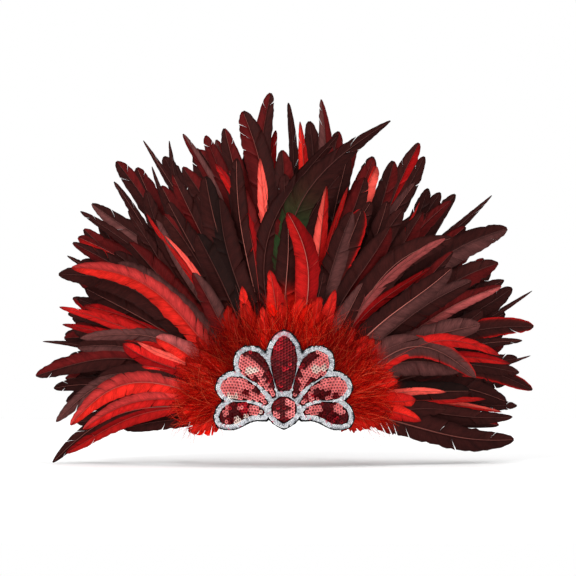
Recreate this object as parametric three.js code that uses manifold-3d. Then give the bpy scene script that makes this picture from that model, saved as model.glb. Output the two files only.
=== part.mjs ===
// Carnival feather headdress: strips of strung rooster feathers fanned out behind a sequin crest,
// sewn to a head band that an elastic strap closes behind the head.
// Millimetres. +X is the wearer's left (right in a front view), +Y is towards the back of the head, +Z is up.
// The origin is the middle of the head opening, level with the point that the feathers fan out from.

import * as THREE from 'three';
import { mergeVertices } from 'three/addons/utils/BufferGeometryUtils.js';
import Module from 'manifold-3d';

const wasm = await Module();
wasm.setup();

// Head loop
const headWidth = 160;
const headDepth = 194;
const bandThickness = 2;
const bandHeight = 32;
const bandDrop = 8;              // lower edge of the band under the fan's middle
const bandHalfAngle = 100;       // degrees from the front to each end of the band
const strapThickness = 1.5;
const strapHeight = 25;
const strapLap = 9;              // degrees that each strap end lies over the band

// Clearances
const seamGap = 0.3;             // between pieces that are sewn or glued together
const bandGap = 0.8;             // between the band and the ribbon sewn to it
const crestGap = 0.5;            // between the down collar and the crest's felt
const levelGap = 0.5;            // air between one strip's feathers and the next strip's

// Fan
const sweep = 0.42;              // how steeply the fan runs back towards its sides
const leanStep = 0.033;          // each strip leans this much further back than the one before it
const leanStart = 60;            // distance from the fan's middle where the lean sets in
const rootHalfWidth = 48;        // the quills start on half an ellipse behind the crest
const rootHeight = 20;
const rootShare = 0.9;           // a quill starts at this share of its tip's angle round that ellipse
const stripWidth = 14;
const stripsDeep = 5;
const ribbonStep = 12;           // degrees between a ribbon's sections
const centreSpan = 3 * ribbonStep;
const sideSpan = [2 * ribbonStep, 9 * ribbonStep];

// Feathers
const longestFeather = 313;      // from the fan's middle to the tallest tip
const featherWidth = 20;
const featherThickness = 0.8;
const overlapGap = 0.15;         // between two feathers of one strip where they cross
const quillWidth = 3.2;

// Down collar
const downReach = 108;
const downRagged = 12;           // the tufts differ by this much in reach
const downWidth = 17;
const downTufts = 17;
const downSpread = 108;          // degrees from the top to the lowest tuft on each side

// Crest
const petalLength = 54.5;
const feltThickness = 2;
const petalThickness = 1.2;
const trimThickness = 1.9;
const trimWidth = 5;             // silver outside the petals
const feltRim = 1.9;             // black felt that shows round the silver

const levelPitch = 2 * featherThickness + overlapGap + levelGap + seamGap;
const levelCount = 2 * stripsDeep + 1;
const sheetHalf = 1.6 * petalLength;    // more than the crest reaches to any side
const degrees = Math.PI / 180;

// A strip's feathers in order round the fan, which lie by turns behind and in front of their neighbours.
// angle: of the tip, in degrees from straight up; reach: of the tip, as a share of the longest feather;
// bow: of the blade, as a share of its length, to the clockwise side; width: as a share of featherWidth;
// point: 0 for a round tip to 1 for a spike; root: angle of the quill, where it isn't rootShare of the tip's.
const feather = ([angle, reach, bow, width, point, root = rootShare * angle], index) =>
  ({ angle, reach, bow, width, point, root, inFront: index % 2 === 1 });

const leftFeathers = [
  [
    [-104.5, 0.77, 0.14, 0.9, 0.8],
    [-103, 0.72, 0.08, 0.7, 0.5],
    [-97.4, 0.65, 0.12, 0.72, 0.5],
    [-96, 0.69, 0.20, 1.0, 0.5],
    [-82, 0.60, 0.06, 0.9, 0.4],
    [-69.5, 0.55, 0.02, 0.9, 0.4],
    [-62.5, 0.46, 0.05, 1.0, 0.3],
    [-57.5, 0.81, 0.13, 0.95, 0.4],
  ],
  [
    [-99, 0.52, -0.03, 0.73, 0.3],
    [-95, 0.74, 0.20, 0.9, 0.6],
    [-84, 0.81, 0.14, 0.9, 0.2],
    [-75, 0.69, 0.08, 1.1, 0.3],
    [-72.5, 0.69, 0.16, 0.65, 0.5],
    [-67, 0.79, 0.08, 0.7, 0.8],
    [-60.5, 0.84, 0.12, 1.1, 0.2],
    [-50, 0.70, 0.02, 1.1, 0.3],
  ],
  [
    [-92.5, 0.66, 0.05, 0.9, 0.4],
    [-86.6, 0.75, 0.03, 0.9, 0.5],
    [-76, 0.81, 0.02, 0.5, 1.0],
    [-64.3, 0.72, 0.06, 0.9, 0.7],
    [-56, 0.85, 0.05, 0.4, 0.4],
    [-53, 0.86, 0.08, 0.9, 0.5],
    [-44, 0.72, 0.0, 1.1, 0.4],
  ],
  [
    [-90, 0.71, 0.10, 1.0, 0.4],
    [-80, 0.74, 0.08, 1.0, 0.4],
    [-68, 0.76, 0.06, 1.0, 0.5],
    [-59, 0.80, 0.04, 1.0, 0.4],
    [-51.5, 0.86, 0.03, 1.1, 0.2],
    [-47, 0.91, 0.04, 0.59, 0.5],
    [-44.2, 0.90, 0.07, 0.9, 0.3],
  ],
  [
    [-95.7, 0.68, 0.06, 1.1, 0.5],
    [-84, 0.72, 0.06, 1.1, 0.5],
    [-73, 0.75, 0.05, 1.1, 0.5],
    [-64, 0.77, 0.05, 1.1, 0.5],
    [-55, 0.80, 0.03, 1.1, 0.4],
    [-46, 0.84, 0.0, 1.1, 0.4],
  ],
];

const centreFeathers = [
  [
    [-34.6, 0.51, 0.0, 0.8, 0.3],
    [-19.3, 0.40, 0.0, 0.8, 0.9],
    [-6, 0.43, 0.0, 0.9, 0.7],
    [0.9, 0.61, 0.10, 1.0, 0.3, 12],
    [16.5, 0.44, 0.0, 0.82, 0.6],
    [33, 0.46, 0.0, 0.9, 0.5],
  ],
  [
    [-27, 0.61, 0.0, 1.2, 0.3],
    [-19, 0.77, 0.0, 1.2, 0.2],
    [-17, 0.69, 0.0, 1.2, 0.3],
    [-2, 0.59, 0.0, 0.7, 0.4],
    [1, 0.60, 0.0, 1.0, 0.3],
    [19.5, 0.65, -0.03, 1.0, 0.3],
    [20.8, 0.97, -0.20, 1.3, 1.0, 8],
    [21.7, 0.67, -0.03, 1.1, 0.1],
    [31, 0.66, -0.03, 1.1, 0.3],
  ],
  [
    [-39, 0.80, -0.02, 0.7, 0.7],
    [-35, 0.72, 0.0, 0.9, 0.4],
    [-30, 0.75, 0.0, 1.0, 0.3],
    [-16, 0.80, 0.04, 0.6, 0.4],
    [-10.9, 0.80, 0.0, 0.8, 0.2],
    [11, 0.71, 0.0, 0.8, 0.9],
    [11.6, 0.88, -0.18, 1.0, 0.8, -5],
    [19.6, 0.77, 0.0, 0.9, 0.0],
    [27, 0.73, 0.0, 1.0, 0.4],
    [36, 0.76, 0.0, 1.0, 0.4],
  ],
  [
    [-33, 0.82, 0.0, 1.0, 0.4],
    [-26, 0.82, 0.0, 1.0, 0.4],
    [-20.7, 0.93, 0.08, 0.6, 0.5],
    [-16.4, 0.90, 0.05, 0.85, 0.2],
    [-8.1, 0.95, 0.03, 1.2, 0.1],
    [-5.6, 0.79, 0.0, 0.75, 0.8],
    [-2.4, 1.0, -0.02, 0.85, 0.0],
    [1.5, 0.73, 0.0, 0.7, 0.0],
    [9, 0.82, 0.0, 0.6, 0.4],
    [20, 0.84, 0.0, 1.0, 0.3],
    [21.4, 0.82, 0.0, 1.0, 0.0],
    [27.5, 0.95, 0.03, 0.78, 0.0],
    [29.7, 0.92, 0.0, 0.8, 0.0],
    [30.9, 0.83, 0.0, 0.8, 0.4],
    [39.8, 0.85, 0.0, 0.8, 0.4],
  ],
  [
    [-37.8, 0.91, 0.0, 0.5, 0.4],
    [-35, 0.96, 0.0, 0.9, 0.0],
    [-29.3, 0.88, 0.0, 0.5, 0.8],
    [-28.1, 0.97, 0.02, 0.65, 1.0],
    [-23.7, 0.93, 0.0, 0.7, 1.0],
    [-14.5, 0.88, 0.03, 0.9, 0.4],
    [-11.3, 0.86, 0.0, 0.5, 0.4],
    [-1.7, 0.88, -0.05, 0.65, 0.4],
    [0.8, 0.97, 0.0, 0.4, 0.0],
    [3.2, 0.91, 0.0, 0.8, 0.9],
    [6.9, 0.99, 0.0, 1.0, 0.8],
    [15.8, 0.89, 0.0, 0.6, 0.4],
    [24, 0.86, 0.0, 1.0, 0.4],
    [34, 0.84, 0.0, 1.0, 0.4],
    [39.6, 0.88, 0.0, 1.0, 0.5],
  ],
];

const rightFeathers = [
  [
    [51, 0.69, -0.05, 1.0, 0.3],
    [64, 0.48, -0.05, 1.0, 0.4],
    [77.6, 0.71, -0.16, 0.65, 0.5],
    [82.5, 0.62, -0.27, 1.0, 0.4],
    [88, 0.42, 0.0, 0.85, 0.4],
    [92, 0.52, 0.0, 0.8, 0.3],
    [99, 0.75, 0.02, 1.1, 0.4],
  ],
  [
    [44.4, 0.74, -0.08, 0.6, 0.5],
    [45.7, 0.76, -0.12, 1.25, 0.5],
    [48, 0.73, 0.0, 0.8, 0.5],
    [57, 0.72, -0.05, 1.0, 0.3],
    [68.2, 0.68, -0.06, 1.02, 0.0],
    [79.5, 0.58, -0.15, 1.25, 0.3],
    [80.3, 0.74, -0.10, 0.6, 0.6],
    [86.3, 0.60, 0.0, 0.94, 0.3],
    [93.6, 0.74, 0.0, 0.82, 0.6],
  ],
  [
    [52.2, 0.92, -0.06, 1.2, 0.2],
    [61.9, 0.80, 0.0, 0.8, 0.4],
    [65, 0.71, 0.0, 1.0, 0.3],
    [73.3, 0.85, -0.08, 0.85, 0.0],
    [75.6, 0.80, -0.05, 0.5, 0.4],
    [83, 0.77, -0.08, 0.9, 0.5],
    [87.4, 0.81, -0.12, 0.7, 0.0],
    [96, 0.70, 0.0, 0.8, 0.5],
  ],
  [
    [46, 0.82, 0.0, 1.0, 0.4],
    [54.3, 0.80, 0.0, 1.0, 0.6],
    [61.1, 0.82, -0.02, 0.9, 0.4],
    [66, 0.89, 0.0, 0.5, 1.0],
    [70.5, 0.76, 0.0, 1.0, 0.4],
    [79.5, 0.82, 0.0, 0.5, 1.0],
    [80, 0.72, 0.0, 1.0, 0.4],
    [91, 0.76, -0.04, 0.7, 0.3],
  ],
  [
    [44.8, 0.80, 0.0, 1.1, 0.4],
    [45.3, 0.96, -0.02, 0.7, 1.0],
    [54.2, 0.80, 0.0, 1.1, 0.4],
    [63, 0.78, 0.0, 1.1, 0.4],
    [73, 0.75, -0.02, 1.1, 0.4],
    [84, 0.72, -0.04, 1.1, 0.4],
    [95, 0.67, -0.02, 1.1, 0.4],
  ],
];

// Each blade's width along its length, as a share of its full width: at a round tip and at a spiked one.
const bladeStations = [
  { along: 0.2, round: 0.6, spiked: 0.6 },
  { along: 0.5, round: 1.0, spiked: 0.95 },
  { along: 0.8, round: 0.96, spiked: 0.52 },
  { along: 0.94, round: 0.64, spiked: 0.22 },
];

// Petals of the crest, with lengths as shares of petalLength. base: middle of the narrow end; angle: from
// straight up; bend: how far the petal turns along its length, both in degrees; fullest: where along its length
// it is widest; mirrored: whether it has a twin.
const petals = [
  { name: 'top', base: [0, 0.275], baseHalf: 0.1, angle: 0, bend: 0, length: 1, half: 0.198, fullest: 0.64 },
  { name: 'upper', base: [0.175, 0.147], baseHalf: 0.037, angle: 39, bend: 38, length: 1, half: 0.231,
    fullest: 0.74, mirrored: true },
  { name: 'middle', base: [0.303, 0.018], baseHalf: 0.037, angle: 71, bend: 60, length: 0.94, half: 0.202,
    fullest: 0.72, mirrored: true },
  { name: 'lower', base: [0.358, -0.138], baseHalf: 0.037, angle: 103, bend: 78, length: 0.87, half: 0.176,
    fullest: 0.7, mirrored: true },
  { name: 'drop', base: [0, -0.312], baseHalf: 0, angle: 0, bend: 0, length: 0.486, half: 0.231,
    fullest: 0.54 },
];
const petalSamples = [0, 0.15, 0.38, 0.62, 0.82, 0.95, 1];
const petalRoundness = 0.55;
const bluntHalf = 0.01;          // a petal's end is blunt where it is wider than this

// Front of the head band at x.
function bandFront(x) {
  const halfWidth = headWidth / 2 + bandThickness;
  const halfDepth = headDepth / 2 + bandThickness;
  return -halfDepth * Math.sqrt(1 - (x / halfWidth) ** 2);
}

// How far the fan's surface lies behind its foremost line at x and z, for the strip at the given level.
function fanRecess(x, z, level) {
  const frontRadius = (headWidth / 2) ** 2 / (headDepth / 2);
  const flat = sweep * frontRadius;
  const swept = sweep * (Math.hypot(x, flat) - flat);
  const lean = leanStep * level * (Math.hypot(x, z, leanStart) - leanStart);
  return swept + lean;
}

// Point on the ellipse of the quills, moved outwards by a distance.
function rootPoint(turn, outwards) {
  return new THREE.Vector2(
    (rootHalfWidth + outwards) * Math.sin(turn * degrees),
    (rootHeight + outwards) * Math.cos(turn * degrees),
  );
}

// Rear face of the rearmost ribbon where x is 0 and nothing leans. It clears the band along its whole
// upper edge.
let rearmost = Infinity;
for (let turn = -centreSpan; turn <= centreSpan; turn += ribbonStep) {
  const edge = rootPoint(turn, stripWidth / 2);
  rearmost = Math.min(rearmost, bandFront(edge.x) - bandGap - fanRecess(edge.x, edge.y, levelCount - 1));
}

function fanDepth(x, z, level) {
  return rearmost + fanRecess(x, z, level) - (levelCount - 1 - level) * levelPitch;
}

function fanPoint(x, z, level, forward) {
  return new THREE.Vector3(x, fanDepth(x, z, level) - forward, z);
}

// Six times the volume that the faces close, negative where they point inwards.
function signedVolume(corners, faces) {
  const at = (index) => new THREE.Vector3().fromArray(corners, 3 * index);
  let volume = 0;
  for (let face = 0; face < faces.length; face += 3) {
    volume += at(faces[face]).dot(at(faces[face + 1]).cross(at(faces[face + 2])));
  }
  return volume;
}

function solidOf(geometry) {
  const bare = geometry.clone();
  bare.deleteAttribute('normal');
  bare.deleteAttribute('uv');
  const welded = mergeVertices(bare, 1e-4);
  const vertProperties = new Float32Array(welded.attributes.position.array);
  const triVerts = new Uint32Array(welded.index.array);
  if (signedVolume(vertProperties, triVerts) < 0) {
    triVerts.reverse();
  }
  return new wasm.Manifold(new wasm.Mesh({ numProp: 3, vertProperties, triVerts }));
}

function geometryOf(solid) {
  const { vertProperties, triVerts } = solid.getMesh();
  const geometry = new THREE.BufferGeometry();
  geometry.setAttribute('position', new THREE.BufferAttribute(new Float32Array(vertProperties), 3));
  geometry.setIndex(new THREE.BufferAttribute(new Uint32Array(triVerts), 1));
  geometry.computeVertexNormals();
  return geometry;
}

function join(solids) {
  return solids.reduce((whole, solid) => whole.add(solid));
}

// Closed body from rings of equally many points, ending in one point or in a flat end.
function ringsGeometry(rings, tip) {
  const sides = rings[0].length;
  const points = rings.flat();
  const faces = [];
  for (let ring = 0; ring + 1 < rings.length; ring += 1) {
    for (let side = 0; side < sides; side += 1) {
      const a = ring * sides + side;
      const b = ring * sides + (side + 1) % sides;
      faces.push(a, b, b + sides, a, b + sides, a + sides);
    }
  }
  const last = (rings.length - 1) * sides;
  for (let side = 1; side + 1 < sides; side += 1) {
    faces.push(0, side + 1, side);
  }
  if (tip) {
    points.push(tip);
    for (let side = 0; side < sides; side += 1) {
      faces.push(last + side, last + (side + 1) % sides, points.length - 1);
    }
  } else {
    for (let side = 1; side + 1 < sides; side += 1) {
      faces.push(last, last + side, last + side + 1);
    }
  }
  const geometry = new THREE.BufferGeometry().setFromPoints(points);
  geometry.setIndex(faces);
  return geometry;
}

// The stations with one more halfway between each two.
function halved(stations) {
  return stations.flatMap((station, index) => {
    const next = stations[index + 1];
    if (!next) {
      return [station];
    }
    return [station, { along: (station.along + next.along) / 2, half: (station.half + next.half) / 2 }];
  });
}

// Feather blade: a shallow roof with its ridge to the front, along a bowed quill.
function featherSolid({ angle, reach, bow, width, point, root, inFront }, level) {
  const start = rootPoint(root, 0);
  const end = new THREE.Vector2(Math.sin(angle * degrees), Math.cos(angle * degrees));
  end.multiplyScalar(reach * longestFeather);
  const chord = end.clone().sub(start);
  const clockwise = new THREE.Vector2(chord.y, -chord.x);
  const spine = (along) => start.clone()
    .addScaledVector(chord, along)
    .addScaledVector(clockwise, bow * Math.sin(Math.PI * along ** 1.25));

  const stations = [{ along: 0, half: quillWidth / 2 }];
  for (const { along, round, spiked } of bladeStations) {
    const share = THREE.MathUtils.lerp(round, spiked, point);
    stations.push({ along, half: share * width * featherWidth / 2 });
  }
  // A blade whose quill has a place of its own crosses the fan's middle and twists there, so its stations
  // lie four times as close.
  const crossesMiddle = root !== rootShare * angle && level > 0;
  const forward = inFront ? featherThickness + overlapGap : 0;
  const rings = (crossesMiddle ? halved(halved(stations)) : stations).map(({ along, half }) => {
    const here = spine(along);
    const across = spine(along + 0.01).sub(here).normalize();
    across.set(across.y, -across.x).multiplyScalar(half);
    const right = here.clone().add(across);
    const left = here.clone().sub(across);
    return [
      fanPoint(left.x, left.y, level, forward),
      fanPoint(here.x, here.y, level, forward + featherThickness),
      fanPoint(right.x, right.y, level, forward),
    ];
  });
  return solidOf(ringsGeometry(rings, fanPoint(end.x, end.y, level, forward + featherThickness / 2)));
}

// Ribbon along the ellipse of the quills: the edges are given as shares of the way out from the fan's middle.
function ribbonSolid(from, to, edges, level) {
  const strips = [];
  for (let inner = 0; inner + 1 < edges.length; inner += 1) {
    const rings = [];
    for (let turn = from; turn <= to; turn += ribbonStep) {
      const at = (edge, forward) => {
        const { x, y } = rootPoint(turn, edge);
        return fanPoint(x, y, level, forward);
      };
      const front = levelPitch - seamGap;
      const near = edges[inner];
      const far = edges[inner + 1];
      rings.push([at(near, 0), at(near, front), at(far, front), at(far, 0)]);
    }
    strips.push(solidOf(ringsGeometry(rings)));
  }
  return join(strips);
}

function stripOfFeathers(rows, from, to, level) {
  const ribbon = ribbonSolid(from, to, [-stripWidth / 2, stripWidth / 2], level);
  const blades = rows.map(feather).map((row) => featherSolid(row, level));
  return join([ribbon, ...blades]);
}

// Short fluffy tufts round the crest, on a backing that fills the middle of the fan.
function downCollarSolid() {
  const level = 0;
  const halfStrip = stripWidth / 2;
  const tufts = [];
  for (let tuft = 0; tuft < downTufts; tuft += 1) {
    const angle = downSpread * (2 * tuft / (downTufts - 1) - 1);
    const reach = (downReach + downRagged * Math.sin(2.3 * tuft)) / longestFeather;
    const width = downWidth / featherWidth;
    const row = { angle, reach, bow: 0, width, point: 0.8, root: angle, inFront: tuft % 2 === 1 };
    tufts.push(featherSolid(row, level));
  }
  const edges = [-0.8 * rootHeight, -halfStrip, halfStrip];
  const backing = ribbonSolid(-sideSpan[1], sideSpan[1], edges, level);
  return join([backing, ...tufts]);
}

// Arc of the head loop between two angles from the front, as a wall of the given thickness and height.
function loopGeometry(clear, thickness, from, to, height) {
  const at = (turn, extra) => new THREE.Vector2(
    (headWidth / 2 + extra) * Math.sin(turn * degrees),
    -(headDepth / 2 + extra) * Math.cos(turn * degrees),
  );
  const count = Math.round((to - from) / 6);
  const turns = Array.from({ length: count + 1 }, (_, step) => from + (to - from) * step / count);
  const outer = turns.map((turn) => at(turn, clear + thickness));
  const inner = turns.map((turn) => at(turn, clear)).reverse();
  const outline = new THREE.Shape([...outer, ...inner]);
  return new THREE.ExtrudeGeometry(outline, { depth: height, bevelEnabled: false });
}

// Outline of a petal that widens from its base and ends round, turning evenly along its length.
function petalOutline({ base, baseHalf, angle, length, half, bend, fullest }) {
  const peak = Math.log(0.5) / Math.log(fullest);
  const left = [];
  const right = [];
  const here = new THREE.Vector2(...base);
  let before = 0;
  for (const along of petalSamples) {
    const heading = (angle + bend * ((along + before) / 2 - 0.5)) * degrees;
    const step = new THREE.Vector2(Math.sin(heading), Math.cos(heading));
    here.addScaledVector(step, (along - before) * length);
    before = along;
    const facing = (angle + bend * (along - 0.5)) * degrees;
    const swell = Math.max(0, Math.sin(Math.PI * along ** peak)) ** petalRoundness;
    const reach = baseHalf * (1 - along) + half * swell;
    const across = new THREE.Vector2(Math.cos(facing), -Math.sin(facing)).multiplyScalar(reach);
    if (reach < bluntHalf) {
      left.push(here.clone());
    } else {
      left.push(here.clone().sub(across));
      right.unshift(here.clone().add(across));
    }
  }
  return [...left, ...right].map((corner) => corner.multiplyScalar(petalLength));
}

// The outline moved outwards by a distance, along the normals at its corners.
function grown(outline, distance) {
  return outline.map((corner, index) => {
    const before = outline.at(index - 1);
    const after = outline[(index + 1) % outline.length];
    const inward = corner.clone().sub(before).normalize();
    const outward = after.clone().sub(corner).normalize();
    const normal = new THREE.Vector2(-(inward.y + outward.y), inward.x + outward.x).normalize();
    const miter = Math.max(0.65, Math.sqrt((1 + inward.dot(outward)) / 2));
    return corner.clone().addScaledVector(normal, distance / miter);
  });
}

// Curved sheet that follows the front of the fan, one thickness deep, and is larger than the crest.
function crestSheet(clear, thickness) {
  const half = [0.1, 0.21, 0.34, 0.5, 0.7, 1];
  const shares = [...half.map((share) => -share).reverse(), 0, ...half];
  const back = shares.map((share) => {
    const x = share * sheetHalf;
    return new THREE.Vector2(x, fanDepth(x, 0, 0) - levelPitch - clear);
  });
  const front = back.map((corner) => new THREE.Vector2(corner.x, corner.y - thickness)).reverse();
  const sheet = new THREE.ExtrudeGeometry(
    new THREE.Shape([...back, ...front]),
    { depth: 2 * sheetHalf, bevelEnabled: false },
  );
  return solidOf(sheet.translate(0, 0, -sheetHalf));
}

function prism(outline) {
  const shape = new THREE.Shape(outline);
  const geometry = new THREE.ExtrudeGeometry(shape, { depth: headDepth, bevelEnabled: false });
  return solidOf(geometry.rotateX(Math.PI / 2));
}

const outlines = new Map();
for (const petal of petals) {
  const outline = petalOutline(petal);
  if (petal.mirrored) {
    const twin = outline.map((corner) => new THREE.Vector2(-corner.x, corner.y)).reverse();
    outlines.set(`petal_${petal.name}_left`, twin);
    outlines.set(`petal_${petal.name}_right`, outline);
  } else {
    outlines.set(`petal_${petal.name}`, outline);
  }
}

function finish(colour, roughness, metalness) {
  return new THREE.MeshStandardMaterial({ color: colour, roughness, metalness });
}

const group = new THREE.Group();

function addPiece(name, geometry, material) {
  const mesh = new THREE.Mesh(geometry, material);
  mesh.name = name;
  group.add(mesh);
  return mesh;
}

const band = addPiece(
  'head_band',
  loopGeometry(0, bandThickness, -bandHalfAngle, bandHalfAngle, bandHeight),
  finish('#1b1416', 0.9, 0),
);
band.position.z = -bandDrop;

const strapEnd = bandHalfAngle - strapLap;
const strap = addPiece(
  'elastic_strap',
  loopGeometry(bandThickness + seamGap, strapThickness, strapEnd, 360 - strapEnd, strapHeight),
  finish('#151214', 0.85, 0),
);
strap.position.z = -bandDrop + (bandHeight - strapHeight) / 2;

for (let strip = 0; strip < stripsDeep; strip += 1) {
  const sideLevel = 1 + 2 * strip;
  const shade = ['#8c1614', '#5a1a18', '#4a1615', '#5c1413', '#3a1414'][strip];
  const left = stripOfFeathers(leftFeathers[strip], -sideSpan[1], -sideSpan[0], sideLevel);
  const right = stripOfFeathers(rightFeathers[strip], sideSpan[0], sideSpan[1], sideLevel);
  const centre = stripOfFeathers(centreFeathers[strip], -centreSpan, centreSpan, sideLevel + 1);
  addPiece(`feathers_left_${strip + 1}`, geometryOf(left), finish(shade, 0.6, 0));
  addPiece(`feathers_right_${strip + 1}`, geometryOf(right), finish(shade, 0.6, 0));
  addPiece(`feathers_centre_${strip + 1}`, geometryOf(centre), finish(shade, 0.6, 0));
}

addPiece('down_collar', geometryOf(downCollarSolid()), finish('#e3261a', 0.95, 0));

const feltOutline = join([...outlines.values()].map((outline) => prism(grown(outline, trimWidth + feltRim))));
const trimOutline = join([...outlines.values()].map((outline) => prism(grown(outline, trimWidth))));
const petalHoles = join([...outlines.values()].map((outline) => prism(grown(outline, seamGap))));
const onFelt = crestGap + feltThickness + seamGap;

addPiece(
  'crest_felt',
  geometryOf(feltOutline.intersect(crestSheet(crestGap, feltThickness))),
  finish('#141014', 0.95, 0),
);
addPiece(
  'crest_trim',
  geometryOf(trimOutline.subtract(petalHoles).intersect(crestSheet(onFelt, trimThickness))),
  finish('#c9ccd0', 0.3, 0.9),
);
for (const [name, outline] of outlines) {
  const petal = prism(outline).intersect(crestSheet(onFelt, petalThickness));
  addPiece(name, geometryOf(petal), finish('#b8161c', 0.3, 0.7));
}

export default group;
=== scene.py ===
import math
import bpy
import numpy as np
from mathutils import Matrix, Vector


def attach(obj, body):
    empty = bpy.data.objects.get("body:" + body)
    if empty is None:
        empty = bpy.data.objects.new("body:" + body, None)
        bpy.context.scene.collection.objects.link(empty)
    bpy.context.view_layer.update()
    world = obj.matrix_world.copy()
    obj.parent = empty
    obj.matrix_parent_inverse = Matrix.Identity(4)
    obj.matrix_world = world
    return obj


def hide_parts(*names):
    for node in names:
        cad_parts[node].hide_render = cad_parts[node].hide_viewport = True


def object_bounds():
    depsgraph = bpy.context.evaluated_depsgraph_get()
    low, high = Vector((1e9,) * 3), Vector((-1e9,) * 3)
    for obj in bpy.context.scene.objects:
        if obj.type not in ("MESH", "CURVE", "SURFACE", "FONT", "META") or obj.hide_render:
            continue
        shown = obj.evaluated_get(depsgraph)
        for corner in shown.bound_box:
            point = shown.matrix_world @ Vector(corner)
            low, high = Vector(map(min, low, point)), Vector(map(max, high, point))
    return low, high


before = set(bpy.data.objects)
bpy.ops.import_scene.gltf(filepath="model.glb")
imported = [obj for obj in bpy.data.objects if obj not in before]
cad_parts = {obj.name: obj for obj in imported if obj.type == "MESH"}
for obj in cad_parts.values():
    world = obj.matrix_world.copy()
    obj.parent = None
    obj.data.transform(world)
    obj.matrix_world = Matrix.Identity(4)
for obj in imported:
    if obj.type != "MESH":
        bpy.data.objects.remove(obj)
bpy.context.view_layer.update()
mm = 0.001
rng = np.random.default_rng(7)

# the fan's curved surface, the same one that the solids follow
fan = {
    "headWidth": 160, "headDepth": 194, "bandThickness": 2, "bandGap": 0.8,
    "sweep": 0.42, "leanStep": 0.033, "leanStart": 60,
    "rootHalfWidth": 48, "rootHeight": 20, "rootShare": 0.9,
    "levels": 11, "levelPitch": 2.55, "longest": 313, "featherWidth": 20,
    "stripWidth": 14, "tapeThickness": 2.2,
}


def recess(x, z, level):
    flat = fan["sweep"] * (fan["headWidth"] / 2) ** 2 / (fan["headDepth"] / 2)
    swept = fan["sweep"] * (np.hypot(x, flat) - flat)
    reach = np.sqrt(x * x + z * z + fan["leanStart"] ** 2) - fan["leanStart"]
    return swept + fan["leanStep"] * level * reach


def rootPoint(turn, out):
    a = np.radians(turn)
    return np.stack([(fan["rootHalfWidth"] + out) * np.sin(a), (fan["rootHeight"] + out) * np.cos(a)], -1)


def bandFront(x):
    halfWidth = fan["headWidth"] / 2 + fan["bandThickness"]
    halfDepth = fan["headDepth"] / 2 + fan["bandThickness"]
    return -halfDepth * np.sqrt(1 - (x / halfWidth) ** 2)


ribbonEdge = rootPoint(np.arange(-36, 37, 12), fan["stripWidth"] / 2)
rearmost = np.min(bandFront(ribbonEdge[:, 0]) - fan["bandGap"]
                  - recess(ribbonEdge[:, 0], ribbonEdge[:, 1], fan["levels"] - 1))


def fanDepth(x, z, level):
    return rearmost + recess(x, z, level) - (fan["levels"] - 1 - level) * fan["levelPitch"]


def linear(red, green, blue):
    c = np.array([red, green, blue], float) / 255
    return np.where(c <= 0.04045, c / 12.92, ((c + 0.055) / 1.055) ** 2.4)


def unit(vectors):
    return vectors / (np.linalg.norm(vectors, axis=-1, keepdims=True) + 1e-9)


def newObject(name, data):
    thing = bpy.data.objects.new(name, data)
    bpy.context.scene.collection.objects.link(thing)
    return thing


# meshes are gathered as arrays: corners, four-sided faces, and a tone and a uv for each corner
class Gather:
    def __init__(self):
        self.points, self.tones, self.uvs = [], [], []
        self.faces, self.kinds, self.smooth = [], [], []
        self.count = 0

    def add(self, points, faces, tone, uv=None, kind=0, smooth=True):
        points = np.reshape(points, (-1, 3))
        self.points.append(points)
        self.tones.append(np.broadcast_to(tone, (len(points), 3)))
        self.uvs.append(np.zeros((len(points), 2)) if uv is None else uv)
        self.faces.append(faces + self.count)
        self.kinds.append(np.full(len(faces), kind))
        self.smooth.append(np.full(len(faces), smooth))
        self.count += len(points)

    def build(self, name, materials):
        faces = np.concatenate(self.faces)
        loops = faces.ravel()
        mesh = bpy.data.meshes.new(name)
        mesh.vertices.add(self.count)
        mesh.vertices.foreach_set("co", (np.concatenate(self.points) * mm).ravel())
        mesh.loops.add(len(loops))
        mesh.loops.foreach_set("vertex_index", loops)
        mesh.polygons.add(len(faces))
        mesh.polygons.foreach_set("loop_start", np.arange(0, len(loops), 4))
        mesh.polygons.foreach_set("loop_total", np.full(len(faces), 4))
        mesh.polygons.foreach_set("material_index", np.concatenate(self.kinds))
        mesh.update(calc_edges=True)
        mesh.polygons.foreach_set("use_smooth", np.concatenate(self.smooth))
        tone = mesh.color_attributes.new("tone", "FLOAT_COLOR", "POINT")
        opaque = np.concatenate([np.concatenate(self.tones), np.ones((self.count, 1))], 1)
        tone.data.foreach_set("color", opaque.ravel())
        layer = mesh.uv_layers.new(name="UVMap")
        layer.data.foreach_set("uv", np.concatenate(self.uvs)[loops].ravel())
        mesh.validate()
        for material in materials:
            mesh.materials.append(material)
        return newObject(name, mesh)


def place(piece, node):
    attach(piece, "root")
    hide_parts(node)


# closed shell between a front and a back grid of points
def addShell(gather, front, back, tone, uv, kind=0, facing=1):
    rows, columns = front.shape[:2]
    size = rows * columns
    index = np.arange(size).reshape(rows, columns)
    face = np.stack([index[:-1, :-1], index[1:, :-1], index[1:, 1:], index[:-1, 1:]], -1).reshape(-1, 4)
    rim = np.concatenate([index[0, :-1], index[:-1, -1], index[-1, :0:-1], index[:0:-1, 0]])
    after = np.roll(rim, -1)
    edge = np.stack([rim, after, after + size, rim + size], 1)
    faces = np.concatenate([face[:, ::-facing], face[:, ::facing] + size, edge[:, ::facing]])
    if tone.ndim > 1:
        tone = np.tile(tone.reshape(-1, 3), (2, 1))
    gather.add(np.stack([front, back]), faces, tone, np.tile(uv.reshape(-1, 2), (2, 1)), kind)


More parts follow.
